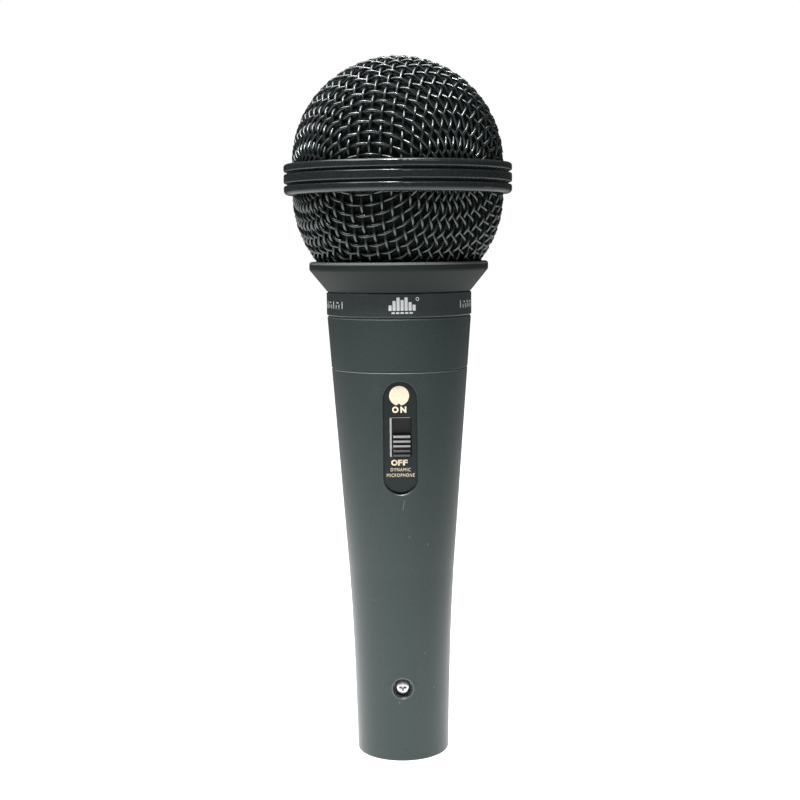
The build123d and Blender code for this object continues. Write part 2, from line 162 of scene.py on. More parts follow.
# ---------------------------------------------------------------- handle castings
# Barrel and neck sleeve are zinc castings sprayed together with a dark grey-green satin paint. The
# paint is slightly pebbled, a little uneven in gloss, and carries a few hairline scuffs. A pale
# highlight line is painted along its edges and round the lip of the lock screw's hole.
PAINT_DARK, PAINT_LIGHT = (0.016, 0.024, 0.023), (0.024, 0.033, 0.032)
MOTTLE_DETAIL, TINT_FROM, TINT_TO, GLOSS_FROM, GLOSS_TO = 3, 0.32, 0.68, 0.3, 0.7


def shader_of(material):
    """The one surface shader of a finish."""
    return material.node_tree.nodes["Principled BSDF"]


def finish(name, dark, light, gloss, grain, lift=0.0, metal=0.0, stretch=(1, 1, 1)):
    """A surface that wanders between two colours and two roughnesses over grains of one size,
    pebbled by lift."""
    made = bpy.data.materials.new(name)
    made.use_nodes = True
    tree = made.node_tree
    shader = shader_of(made)
    shader.inputs["Metallic"].default_value = metal
    where = tree.nodes.new("ShaderNodeTexCoord")
    stretched = tree.nodes.new("ShaderNodeMapping")
    stretched.inputs["Scale"].default_value = stretch
    tree.links.new(where.outputs["Object"], stretched.inputs["Vector"])
    mottle = tree.nodes.new("ShaderNodeTexNoise")
    mottle.inputs["Scale"].default_value = 1 / grain
    mottle.inputs["Detail"].default_value = MOTTLE_DETAIL
    tree.links.new(stretched.outputs["Vector"], mottle.inputs["Vector"])
    tint = tree.nodes.new("ShaderNodeValToRGB")
    tint.color_ramp.elements[0].position = TINT_FROM
    tint.color_ramp.elements[1].position = TINT_TO
    tint.color_ramp.elements[0].color = (*dark, 1)
    tint.color_ramp.elements[1].color = (*light, 1)
    tree.links.new(mottle.outputs["Fac"], tint.inputs["Fac"])
    tree.links.new(tint.outputs["Color"], shader.inputs["Base Color"])
    sheen = ranged(tree, mottle.outputs["Fac"], GLOSS_FROM, GLOSS_TO, *gloss)
    tree.links.new(sheen, shader.inputs["Roughness"])
    if lift:
        pebble = tree.nodes.new("ShaderNodeBump")
        pebble.inputs["Distance"].default_value = lift
        tree.links.new(mottle.outputs["Fac"], pebble.inputs["Height"])
        tree.links.new(pebble.outputs["Normal"], shader.inputs["Normal"])
    return made


def place_on(material):
    """The socket with the place on the piece that a finish already reads."""
    nodes = material.node_tree.nodes
    return next(n for n in nodes if n.bl_idname == "ShaderNodeTexCoord").outputs["Object"]


def coat(material, *names):
    """Gives CAD nodes that stay visible their finish."""
    for name in names:
        slots = nodes_of_cad[name].data.materials
        for i in range(len(slots)):
            slots[i] = material


def wear_and_highlight(material, mask, colour):
    """Lets a second colour through a finish's own where the mask says so: real wear for scuffs,
    painted highlights along edges and on the knob's ribs.
    """
    tree = material.node_tree
    shader = shader_of(material)
    wear_and_highlight_mix = tree.nodes.new("ShaderNodeMix")
    wear_and_highlight_mix.data_type = "RGBA"
    wear_and_highlight_mix.inputs["B"].default_value = (*colour, 1)
    tree.links.new(mask, wear_and_highlight_mix.inputs["Factor"])
    tree.links.new(shader.inputs["Base Color"].links[0].from_socket, wear_and_highlight_mix.inputs["A"])
    tree.links.new(wear_and_highlight_mix.outputs["Result"], shader.inputs["Base Color"])


def scuff(material, start, end, width):
    """A hairline scuff in the paint between two points, fading out over its width."""
    tree = material.node_tree
    run = end - start
    along = worked_out(tree, "ShaderNodeVectorMath", "SUBTRACT", place_on(material), start)
    share = worked_out(tree, "ShaderNodeVectorMath", "DOT_PRODUCT", along.outputs["Vector"],
                       run / run.length_squared)
    held = tree.nodes.new("ShaderNodeClamp")
    tree.links.new(share.outputs["Value"], held.inputs["Value"])
    nearest = worked_out(tree, "ShaderNodeVectorMath", "SCALE", run)
    tree.links.new(held.outputs["Result"], nearest.inputs["Scale"])
    gap = worked_out(tree, "ShaderNodeVectorMath", "DISTANCE", along.outputs["Vector"],
                     nearest.outputs["Vector"])
    mask = ranged(tree, gap.outputs["Value"], width, width * SCUFF_CORE, 0, SCUFF_DEPTH)
    wear_and_highlight(material, mask, SCUFF_COLOUR)


def paint_edge_highlight(material, height, half_width, depth, radius=0.0, measured=(0, 0, 1)):
    """Paints a pale highlight line along an edge of a finish: where the distance from (0, 0, height),
    measured only in the given directions, is the radius or near it. Without a radius that is a level
    edge."""
    tree = material.node_tree
    moved = tree.nodes.new("ShaderNodeMapping")
    moved.inputs["Location"].default_value = (0, 0, -height)
    moved.inputs["Scale"].default_value = measured
    tree.links.new(place_on(material), moved.inputs["Vector"])
    reach = worked_out(tree, "ShaderNodeVectorMath", "LENGTH", moved.outputs["Vector"])
    past = worked_out(tree, "ShaderNodeMath", "SUBTRACT", reach.outputs["Value"], radius)
    off = worked_out(tree, "ShaderNodeMath", "ABSOLUTE", past.outputs["Value"])
    mask = ranged(tree, off.outputs["Value"], half_width, half_width * EDGE_HIGHLIGHT_CORE, 0, depth)
    wear_and_highlight(material, mask, EDGE_HIGHLIGHT_COLOUR)


handle_paint = finish(
    "handle_paint", PAINT_DARK, PAINT_LIGHT, (0.30, 0.42), 0.35 * MM, lift=0.016 * MM)
shader_of(handle_paint).inputs["Specular IOR Level"].default_value = 0.45
shader_of(handle_paint).inputs["Specular Tint"].default_value = (0.86, 1, 0.98, 1)

SCUFF_COLOUR, SCUFF_CORE, SCUFF_DEPTH = (0.10, 0.115, 0.11), 0.3, 0.8
SCUFFS = (
    # start, end, width, all in millimetres
    ((0.83, -14.33, 65.2), (0.46, -14.18, 62.9), 0.16),
    ((-0.84, -11.62, 15.0), (-0.8, -11.6, 14.6), 0.2),
    ((5.47, -10.71, 27.1), (5.5, -10.70, 26.8), 0.16),
    ((1.83, -13.57, 56.3), (2.1, -13.52, 56.1), 0.16),
    ((6.38, -11.94, 54.2), (6.3, -11.97, 53.9), 0.2),
    ((7.64, -8.90, 18.0), (7.6, -8.93, 17.7), 0.16),
    ((-6.76, -10.67, 40.3), (-6.6, -10.75, 40.1), 0.14),
)
for start, end, width in SCUFFS:
    scuff(handle_paint, Vector(start) * MM, Vector(end) * MM, width * MM)

# Colour and fall-off of the painted highlight lines along edges.
EDGE_HIGHLIGHT_COLOUR, EDGE_HIGHLIGHT_CORE = (0.17, 0.19, 0.185), 0.7
EDGE_HIGHLIGHT_WIDTH, EDGE_HIGHLIGHT_STRENGTH = 0.2 * MM, 0.8
SHOULDER_EDGE_BELOW_BAND, BARREL_EDGE_DOWN = 0.30 * MM, 0.13 * MM
HOLE_EDGE_R, HOLE_HIGHLIGHT_WIDTH, HOLE_HIGHLIGHT_STRENGTH = 2.6 * MM, 0.16 * MM, 0.4
# Painted highlight lines: the shoulder's edge below the band, the barrel's top edge and the lip of the
# lock screw's hole.
paint_edge_highlight(handle_paint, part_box("name_band")[0].z - SHOULDER_EDGE_BELOW_BAND, EDGE_HIGHLIGHT_WIDTH, EDGE_HIGHLIGHT_STRENGTH)
paint_edge_highlight(handle_paint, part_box("barrel")[1].z - BARREL_EDGE_DOWN, EDGE_HIGHLIGHT_WIDTH, EDGE_HIGHLIGHT_STRENGTH)
screw_low, screw_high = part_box("xlr_lock_screw")
screw_z = (screw_low.z + screw_high.z) / 2
paint_edge_highlight(handle_paint, screw_z, HOLE_HIGHLIGHT_WIDTH, HOLE_HIGHLIGHT_STRENGTH, radius=HOLE_EDGE_R, measured=(1, 0, 1))
coat(handle_paint, "barrel", "neck_sleeve")

# ---------------------------------------------------------------- tail connector
# Three-pin male insert: nickel-plated shell pushed into the tail, glass-filled black moulding,
# gold-plated pins and a tinned earth washer behind.
shell_nickel = finish(
    "shell_nickel", (0.62, 0.60, 0.56), (0.74, 0.72, 0.68), (0.22, 0.34), 0.5 * MM,
    lift=0.004 * MM, metal=1.0, stretch=(1, 1, 6))
insert_plastic = finish(
    "insert_plastic", (0.018, 0.018, 0.019), (0.03, 0.03, 0.031), (0.42, 0.58), 0.25 * MM,
    lift=0.01 * MM)
pin_gold = finish(
    "pin_gold", (0.78, 0.55, 0.22), (0.88, 0.66, 0.30), (0.16, 0.28), 0.3 * MM,
    lift=0.002 * MM, metal=1.0, stretch=(1, 1, 5))
tinned = finish(
    "tinned", (0.62, 0.62, 0.60), (0.78, 0.78, 0.76), (0.25, 0.42), 0.4 * MM,
    lift=0.004 * MM, metal=1.0)
coat(shell_nickel, "xlr_shell")
coat(insert_plastic, "xlr_insulator")
coat(pin_gold, "xlr_pin_1", "xlr_pin_2", "xlr_pin_3")
coat(tinned, "xlr_ground_washer")

# ---------------------------------------------------------------- lock screw
# A small nickel-plated pan-head screw holds the insert, its head sunk in a hole of the barrel. The
# cross recess is struck deeper at the middle, so its floors slope.


def make_piece(name, form, material, body, crease=40):
    """Turns a finished form, already in place, into a piece that rides on a CAD body."""
    mesh = bpy.data.meshes.new(name)
    form.to_mesh(mesh)
    form.free()
    mesh.materials.append(material)
    mesh.polygons.foreach_set("use_smooth", [True] * len(mesh.polygons))
    mesh.set_sharp_from_angle(angle=math.radians(crease))
    made = bpy.data.objects.new(name, mesh)
    bpy.context.scene.collection.objects.link(made)
    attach(made, body)
    return made


def spun(outline, steps):
    """A closed form turned about Z from an outline of (radius, height) corners."""
    form = bmesh.new()
    corners = [form.verts.new((r, 0, z)) for r, z in outline]
    edges = [form.edges.new(pair) for pair in zip(corners, corners[1:])]
    bmesh.ops.spin(
        form, geom=corners + edges, cent=(0, 0, 0), axis=(0, 0, 1), angle=2 * math.pi,
        steps=steps, use_merge=True)
    bmesh.ops.remove_doubles(form, verts=form.verts, dist=1e-7)
    bmesh.ops.recalc_face_normals(form, faces=form.faces)
    return form


def carve(form, tool):
    """Takes one closed form out of another and returns what is left."""
    stock_mesh, tool_mesh = bpy.data.meshes.new("stock"), bpy.data.meshes.new("tool")
    form.to_mesh(stock_mesh)
    tool.to_mesh(tool_mesh)
    stock = bpy.data.objects.new("stock", stock_mesh)
    cutter = bpy.data.objects.new("cutter", tool_mesh)
    for part in (stock, cutter):
        bpy.context.scene.collection.objects.link(part)
    cut = stock.modifiers.new("cut", "BOOLEAN")
    cut.operation = "DIFFERENCE"
    cut.solver = "EXACT"
    cut.object = cutter
    view = bpy.context.evaluated_depsgraph_get()
    left = bpy.data.meshes.new_from_object(stock.evaluated_get(view))
    form.clear()
    form.from_mesh(left)
    for part in (stock, cutter):
        bpy.data.objects.remove(part)
    tool.free()
    return form


def turned(form, degrees, axis):
    """Turns a form about an axis through the origin."""
    bmesh.ops.rotate(
        form, verts=form.verts, matrix=Matrix.Rotation(math.radians(degrees), 3, axis))


def block(width, length, height):
    """A block round the origin."""
    form = bmesh.new()
    bmesh.ops.create_cube(form, size=1)
    bmesh.ops.scale(form, verts=form.verts, vec=(width, length, height))
    return form


SCREW_HEAD_R = (screw_high.x - screw_low.x) / 2
SCREW_HEAD_H, SCREW_SHANK_R, SCREW_TIP_H = 1.5 * MM, 1.0 * MM, 0.3 * MM
HEAD_ROUNDING = (
    # share of the head's radius, millimetres below its crown
    (1, 0.85), (0.97, 0.62), (0.89, 0.38), (0.76, 0.19), (0.56, 0.06), (0.3, 0), (0, 0),
)
RECESS_ARM, RECESS_W, RECESS_DEEP = 1.2 * MM, 0.66 * MM, 1.3 * MM
BLADE_TAPER = (0.3, 0.6, 0.5)
screw_length = screw_high.y - screw_low.y
screw = spun(
    [(0, 0), (SCREW_SHANK_R * 0.7, 0), (SCREW_SHANK_R, SCREW_TIP_H),
     (SCREW_SHANK_R, screw_length - SCREW_HEAD_H), (SCREW_HEAD_R, screw_length - SCREW_HEAD_H)]
    + [(SCREW_HEAD_R * share, screw_length - down * MM) for share, down in HEAD_ROUNDING], 48)
for turn in (0, 90):
    blade = block(2 * RECESS_ARM, RECESS_W, 2 * RECESS_DEEP)
    bmesh.ops.scale(blade, verts=[v for v in blade.verts if v.co.z < 0], vec=BLADE_TAPER)
    turned(blade, turn, "Z")
    bmesh.ops.translate(blade, verts=blade.verts, vec=(0, 0, screw_length - RECESS_DEEP / 2))
    screw = carve(screw, blade)
turned(screw, 90, "X")
bmesh.ops.translate(screw, verts=screw.verts, vec=(0, screw_high.y, screw_z))
screw_nickel = finish(
    "screw_nickel", (0.58, 0.58, 0.58), (0.74, 0.74, 0.74), (0.30, 0.42), 0.35 * MM,
    lift=0.006 * MM, metal=1.0)
lock_screw = make_piece("lock_screw", screw, screw_nickel, "handle", crease=30)
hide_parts("xlr_lock_screw")

# ---------------------------------------------------------------- switch plate
# Oval plate of black enamelled aluminium, glued in a recess of the barrel, with a chamfered window
# for the knob. Its marks are silk-screened in cream: a dot, ON, OFF and two lines of small print.
PRINT_LIFT = 0.02 * MM
PLATE_THICK = 0.8 * MM
plate_enamel = finish(
    "plate_enamel", (0.004, 0.008, 0.009), (0.006, 0.011, 0.012), (0.30, 0.40), 0.6 * MM,
    lift=0.006 * MM)
shader_of(plate_enamel).inputs["Specular IOR Level"].default_value = 0.3
coat(plate_enamel, "switch_plate")

slide = next(j for j in frame["joints"] if j["name"] == "switch_slide")
up_handle = Vector(slide["axis"]).normalized()
across = Vector((1, 0, 0))
outward = across.cross(up_handle)
plate_low, plate_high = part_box("switch_plate")
plate_face = (plate_low + plate_high) / 2 + outward * PLATE_THICK / 2
on_plate = Matrix.Translation(plate_face) @ Matrix(
    (across, up_handle, outward)).transposed().to_4x4()


def together(forms):
    """Joins several forms in one."""
    whole = bmesh.new()
    for form in forms:
        passing = bpy.data.meshes.new("passing")
        form.to_mesh(passing)
        form.free()
        whole.from_mesh(passing)
        bpy.data.meshes.remove(passing)
    return whole


def word(text, height, width, x, y, heavy):
    """A printed word as a form, a hair thick, centred on (x, y)."""
    lettering = bpy.data.curves.new(text, "FONT")
    lettering.body = text
    lettering.size = 1.0
    lettering.space_character = LETTER_SPACING
    lettering.offset = heavy
    lettering.extrude = 0.02
    lettering.resolution_u = 4
    sign = bpy.data.objects.new(text, lettering)
    bpy.context.scene.collection.objects.link(sign)
    view = bpy.context.evaluated_depsgraph_get()
    flat = bpy.data.meshes.new_from_object(sign.evaluated_get(view))
    bpy.data.objects.remove(sign)
    form = bmesh.new()
    form.from_mesh(flat)
    bpy.data.meshes.remove(flat)
    bmesh.ops.remove_doubles(form, verts=form.verts, dist=1e-5)
    low = Vector([min(v.co[k] for v in form.verts) for k in range(3)])
    high = Vector([max(v.co[k] for v in form.verts) for k in range(3)])
    bmesh.ops.translate(form, verts=form.verts, vec=-(low + high) / 2)
    size = high - low
    bmesh.ops.scale(
        form, verts=form.verts, vec=(width / size.x, height / size.y, 2 * PRINT_LIFT / size.z))
    bmesh.ops.translate(form, verts=form.verts, vec=(x, y, 0))
    return form


cream_ink = finish(
    "cream_ink", (0.80, 0.66, 0.46), (0.88, 0.78, 0.62), (0.45, 0.6), 0.5 * MM, lift=0.003 * MM)
LETTER_SPACING = 1.2
LETTERS = (
    # text, height, width, across, up, all in millimetres, and how far its strokes are swelled
    ("O", 1.52, 1.52, -1.13, 6.6, 0.05), ("N", 1.52, 1.41, 0.76, 6.6, 0.05),
    ("O", 1.42, 1.52, -1.47, -6.15, 0.045), ("F", 1.42, 1.02, -0.11, -6.15, 0.045),
    ("F", 1.42, 1.15, 1.12, -6.15, 0.045), ("DYNAMIC", 0.8, 4.7, 0, -7.85, 0.0),
    ("MICROPHONE", 0.8, 6.6, 0, -9.2, 0.0),
)
DOT_R, DOT_X, DOT_Y = 2.34 * MM, -0.2 * MM, 9.93 * MM
NOTCH_SIDE, NOTCH_X = 0.8 * MM, -0.1 * MM
dot = spun([(0, -PRINT_LIFT), (DOT_R, -PRINT_LIFT), (DOT_R, PRINT_LIFT), (0, PRINT_LIFT)], 64)
notch = block(NOTCH_SIDE, NOTCH_SIDE, NOTCH_SIDE)
turned(notch, 45, "Z")
bmesh.ops.translate(notch, verts=notch.verts, vec=(NOTCH_X, -DOT_R, 0))
dot = carve(dot, notch)
bmesh.ops.translate(dot, verts=dot.verts, vec=(DOT_X, DOT_Y, 0))
plate_marks = together([dot] + [
    word(text, height * MM, width * MM, x * MM, y * MM, heavy)
    for text, height, width, x, y, heavy in LETTERS])
bmesh.ops.transform(plate_marks, verts=plate_marks.verts, matrix=on_plate)
make_piece("plate_marks", plate_marks, cream_ink, "handle", crease=30)

# ---------------------------------------------------------------- window strip
# Zinc-plated spring strip bent round the left and upper edge of the plate's window, which takes up
# the knob's side play.
WINDOW_W, WINDOW_L = 5.0 * MM, 9.5 * MM
STRIP_SIDE_W, STRIP_TOP_W, STRIP_ROUND = 0.46 * MM, 0.14 * MM, 0.04 * MM
STRIP_DOWN, STRIP_DEEP = 0.12 * MM, 0.6 * MM
strip = bmesh.new()
for width, length, x, y in (
        (STRIP_SIDE_W, WINDOW_L, (STRIP_SIDE_W - WINDOW_W) / 2, 0),
        (WINDOW_W, STRIP_TOP_W, 0, (WINDOW_L - STRIP_TOP_W) / 2)):
    bar = bmesh.ops.create_cube(strip, size=1)["verts"]
    bmesh.ops.scale(strip, verts=bar, vec=(width, length, STRIP_DEEP))
    bmesh.ops.translate(strip, verts=bar, vec=(x, y, -STRIP_DOWN - STRIP_DEEP / 2))
bmesh.ops.bevel(
    strip, geom=strip.edges[:], offset=STRIP_ROUND, affect="EDGES", segments=2, profile=0.5,
    material=-1)
bmesh.ops.transform(strip, verts=strip.verts, matrix=on_plate)
strip_zinc = finish(
    "strip_zinc", (0.34, 0.34, 0.33), (0.46, 0.46, 0.45), (0.38, 0.5), 0.3 * MM, lift=0.006 * MM)
make_piece("window_strip", strip, strip_zinc, "handle")

# ---------------------------------------------------------------- switch knob
# Black moulded knob with five finger ribs, and a flange that keeps it behind the plate. The rib
# tops are painted pale as a highlight, most towards the upper end.
KNOB_L, KNOB_W, KNOB_X, KNOB_LOW = 5.1 * MM, 4.15 * MM, 0.33 * MM, 0.43 * MM
KNOB_TOP, KNOB_VALLEY, KNOB_BASE, KNOB_ROUND = 0.75 * MM, 0.10 * MM, -1.1 * MM, 0.08 * MM
RIB_PITCH, RIB_FOOT, RIB_COUNT = 1.13 * MM, 0.54 * MM, 5
RIB_TOP_L, RIB_TOP_W, NEAR_END = 0.74, 0.96, 0.02 * MM
FLANGE_W, FLANGE_L, FLANGE_T = 5.8 * MM, 13.0 * MM, 0.6 * MM
RIB_PLACES = [(rib - (RIB_COUNT - 1) / 2) * RIB_PITCH for rib in range(RIB_COUNT)]
knob_low, knob_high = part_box("switch_knob")
flange_middle = (on_plate.inverted() @ ((knob_low + knob_high) / 2)).y

knob = block(KNOB_W, KNOB_L, KNOB_VALLEY - KNOB_BASE)
bmesh.ops.translate(knob, verts=knob.verts, vec=(0, 0, (KNOB_VALLEY + KNOB_BASE) / 2))
for centre in RIB_PLACES:
    for edge in (centre - RIB_FOOT / 2, centre + RIB_FOOT / 2):
        if abs(edge) < KNOB_L / 2 - NEAR_END:
            bmesh.ops.bisect_plane(
                knob, geom=knob.verts[:] + knob.edges[:] + knob.faces[:],
                plane_co=(0, edge, 0), plane_no=(0, 1, 0))
rib_feet = [f for f in knob.faces if f.normal.z > 0.9 and any(
    abs(f.calc_center_median().y - centre) < RIB_FOOT / 2 for centre in RIB_PLACES)]
for foot in rib_feet:
    rib_top = bmesh.ops.extrude_discrete_faces(knob, faces=[foot])["faces"][0]
    heart = rib_top.calc_center_median()
    for corner in rib_top.verts:
        corner.co.z = KNOB_TOP
        corner.co.y = heart.y + (corner.co.y - heart.y) * RIB_TOP_L
        corner.co.x *= RIB_TOP_W
bmesh.ops.recalc_face_normals(knob, faces=knob.faces)
bmesh.ops.bevel(
    knob, geom=[e for e in knob.edges if e.is_manifold and e.calc_face_angle(0) > 0.5],
    offset=KNOB_ROUND, affect="EDGES", segments=3, profile=0.5, material=-1, clamp_overlap=True)
bmesh.ops.translate(knob, verts=knob.verts, vec=(KNOB_X, -KNOB_LOW, 0))
flange = block(FLANGE_W, FLANGE_L, FLANGE_T)
bmesh.ops.translate(flange, verts=flange.verts, vec=(0, 0, KNOB_BASE - FLANGE_T / 2))
knob = together([knob, flange])
bmesh.ops.translate(knob, verts=knob.verts, vec=(0, flange_middle, 0))


def climb(value, start, length):
    """Goes from 0 to 1 as a value goes over a length from a start."""
    return min(max((value - start) / length, 0), 1)


# Painted highlight on the rib tops: pale grey from a height up, the upper ribs most.
RIB_HIGHLIGHT_FROM_Z, RIB_HIGHLIGHT_OVER_Z, RIB_HIGHLIGHT_LEAST = 0.45 * MM, 0.2 * MM, 0.25
RIB_HIGHLIGHT_FROM_Y, RIB_HIGHLIGHT_OVER_Y = flange_middle - KNOB_LOW - 1.0 * MM, 0.8 * MM
rib_top_highlight = [
    climb(v.co.z, RIB_HIGHLIGHT_FROM_Z, RIB_HIGHLIGHT_OVER_Z)
    * (RIB_HIGHLIGHT_LEAST + (1 - RIB_HIGHLIGHT_LEAST) * climb(v.co.y, RIB_HIGHLIGHT_FROM_Y, RIB_HIGHLIGHT_OVER_Y))
    for v in knob.verts]
bmesh.ops.transform(knob, verts=knob.verts, matrix=on_plate)
knob_plastic = finish(
    "knob_plastic", (0.005, 0.006, 0.006), (0.010, 0.011, 0.012), (0.34, 0.46), 0.3 * MM,
    lift=0.006 * MM)
shader_of(knob_plastic).inputs["Specular IOR Level"].default_value = 0.35
slide_knob = make_piece("slide_knob", knob, knob_plastic, "switch_slider")
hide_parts("switch_knob")
# The painted rib highlight is carried to the finish as a point attribute.
slide_knob.data.attributes.new("rib_top_highlight", "FLOAT", "POINT").data.foreach_set(
    "value", rib_top_highlight)
rib_highlight_attribute = knob_plastic.node_tree.nodes.new("ShaderNodeAttribute")
rib_highlight_attribute.attribute_name = "rib_top_highlight"
wear_and_highlight(knob_plastic, rib_highlight_attribute.outputs["Fac"], (0.30, 0.30, 0.30))

# ---------------------------------------------------------------- switch works
# Behind the plate: a grey moulded actuator, a silvered bridging contact and tabs, a stamped steel
# frame held by two nickel-plated screws, and a brown phenolic housing.
works_plastic = finish(
    "works_plastic", (0.30, 0.31, 0.31), (0.37, 0.38, 0.38), (0.4, 0.55), 0.3 * MM,
    lift=0.006 * MM)
silvered = finish(
    "silvered", (0.72, 0.72, 0.70), (0.84, 0.84, 0.82), (0.2, 0.36), 0.3 * MM,
    lift=0.004 * MM, metal=1.0)
stamped_steel = finish(
    "stamped_steel", (0.50, 0.50, 0.48), (0.64, 0.64, 0.62), (0.28, 0.42), 0.4 * MM,
    lift=0.005 * MM, metal=1.0, stretch=(1, 1, 4))
phenolic = finish(
    "phenolic", (0.20, 0.10, 0.045), (0.30, 0.16, 0.075), (0.4, 0.6), 0.5 * MM,
    lift=0.006 * MM, stretch=(3, 1, 1))
coat(works_plastic, "switch_actuator")
coat(silvered, "switch_contact", "switch_tab_cold", "switch_tab_hot")
coat(stamped_steel, "switch_frame")
coat(phenolic, "switch_housing")
coat(screw_nickel, "switch_screw_lower", "switch_screw_upper")

# ---------------------------------------------------------------- wiring
# Stranded hook-up wires in soft insulation: a red and a black one from the capsule to the switch, a
# red and a black one on to the pins, and a green earth wire to the washer.
LEADS = (
    # name, darker colour, brighter colour, CAD nodes
    ("lead_red", (0.42, 0.02, 0.02), (0.56, 0.035, 0.03), ("capsule_lead_hot", "tail_lead_hot")),
    ("lead_black", (0.015, 0.015, 0.016), (0.028, 0.028, 0.03),
     ("capsule_lead_cold", "tail_lead_cold")),
    ("lead_green", (0.02, 0.2, 0.06), (0.04, 0.3, 0.1), ("ground_lead",)),
)
for name, darker, brighter, leads in LEADS:
    coat(finish(name, darker, brighter, (0.35, 0.5), 0.5 * MM, lift=0.005 * MM), *leads)

# ---------------------------------------------------------------- capsule
# Moving-coil capsule on a rubber sleeve: moulded housing and perforated cap, ferrite magnet in a
# soft-iron pot, copper coil glued to a thin domed film, felt behind and a cloth disc in front.
rubber = finish(
    "rubber", (0.018, 0.018, 0.018), (0.03, 0.03, 0.03), (0.6, 0.78), 0.4 * MM, lift=0.01 * MM)
soft_iron = finish(
    "soft_iron", (0.36, 0.36, 0.36), (0.48, 0.48, 0.47), (0.3, 0.46), 0.4 * MM,
    lift=0.005 * MM, metal=1.0)
ferrite = finish(
    "ferrite", (0.10, 0.10, 0.105), (0.16, 0.16, 0.17), (0.4, 0.6), 0.25 * MM,
    lift=0.012 * MM, metal=0.3)
copper_turns = finish(
    "copper_turns", (0.55, 0.22, 0.10), (0.78, 0.40, 0.22), (0.22, 0.36), 0.12 * MM,
    lift=0.02 * MM, metal=1.0, stretch=(0.05, 0.05, 1))
film = finish(
    "film", (0.62, 0.58, 0.47), (0.74, 0.71, 0.60), (0.12, 0.22), 1.2 * MM, lift=0.01 * MM)
shader_of(film).inputs["Coat Weight"].default_value = 0.4
felt = finish(
    "felt", (0.42, 0.40, 0.35), (0.60, 0.58, 0.52), (0.85, 0.98), 0.18 * MM, lift=0.08 * MM)
screen_cloth = finish(
    "screen_cloth", (0.012, 0.012, 0.013), (0.03, 0.03, 0.032), (0.8, 0.95), 0.15 * MM,
    lift=0.05 * MM)
coat(rubber, "shock_mount")
coat(insert_plastic, "capsule_housing", "capsule_front_cap", "capsule_back_cover")
coat(soft_iron, "yoke", "front_plate", "pole_piece")
coat(ferrite, "magnet")
coat(copper_turns, "voice_coil")
coat(film, "diaphragm")
coat(works_plastic, "diaphragm_clamp")
coat(felt, "capsule_felt")
coat(screen_cloth, "capsule_screen")
coat(silvered, "capsule_tab_cold", "capsule_tab_hot")

# ---------------------------------------------------------------- name band
# Loose turned ring between shoulder and collar, lacquered smoother than the handle. Its white print
# is a plain level-meter emblem in front and a row of scale ticks round each side.
band_low, band_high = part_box("name_band")
BAND_R = band_high.x
band_z = (band_low.z + band_high.z) / 2
band_lacquer = finish(
    "band_lacquer", (0.026, 0.033, 0.034), (0.034, 0.042, 0.043), (0.30, 0.36), 0.5 * MM,
    lift=0.003 * MM)
BAND_EDGE_DOWN, BAND_HIGHLIGHT_STRENGTH = 0.15 * MM, 0.7
# Painted highlight line along the band's top edge.
paint_edge_highlight(band_lacquer, band_high.z - BAND_EDGE_DOWN, EDGE_HIGHLIGHT_WIDTH, BAND_HIGHLIGHT_STRENGTH)
coat(band_lacquer, "name_band")


def slab(width, height, x, y, rounding=0.0):
    """A printed bar, a hair thick, on the flat."""
    form = block(width, height, 2 * PRINT_LIFT)
    if rounding:
        upright = [e for e in form.edges if abs(e.verts[0].co.z - e.verts[1].co.z) > PRINT_LIFT]
        bmesh.ops.bevel(form, geom=upright, offset=rounding, affect="EDGES", segments=4,
                        profile=0.5, material=-1)
    bmesh.ops.translate(form, verts=form.verts, vec=(x, y, 0))
    return form


def hoop(outer, inner, x, y):
    """A printed ring, a hair thick, on the flat."""
    form = spun([(inner, -PRINT_LIFT), (outer, -PRINT_LIFT), (outer, PRINT_LIFT),
                 (inner, PRINT_LIFT), (inner, -PRINT_LIFT)], 24)
    bmesh.ops.translate(form, verts=form.verts, vec=(x, y, 0))
    return form


METER_BARS = [tall * MM for tall in (1.3, 2.3, 3.1, 2.5, 3.1, 2.0, 1.4)]
BAR_W, BAR_PITCH, BAR_FOOT, BAR_ROUND = 0.72 * MM, 0.93 * MM, -1.1 * MM, 0.12 * MM
DASH_L, DASH_W, DASH_PITCH, DASH_Y = 0.75 * MM, 0.36 * MM, 1.05 * MM, -1.62 * MM
HOOP_OUT, HOOP_IN, HOOP_X, HOOP_Y = 0.42 * MM, 0.27 * MM, 3.6 * MM, 1.6 * MM
EMBLEM_X = 0.7 * MM
emblem = [slab(BAR_W, bar, (k - 3) * BAR_PITCH, bar / 2 + BAR_FOOT, BAR_ROUND)
          for k, bar in enumerate(METER_BARS)]
emblem += [slab(DASH_L, DASH_W, k * DASH_PITCH, DASH_Y) for k in range(-2, 3)]
emblem.append(hoop(HOOP_OUT, HOOP_IN, HOOP_X, HOOP_Y))
emblem_form = together(emblem)
bmesh.ops.translate(emblem_form, verts=emblem_form.verts, vec=(EMBLEM_X, 0, 0))

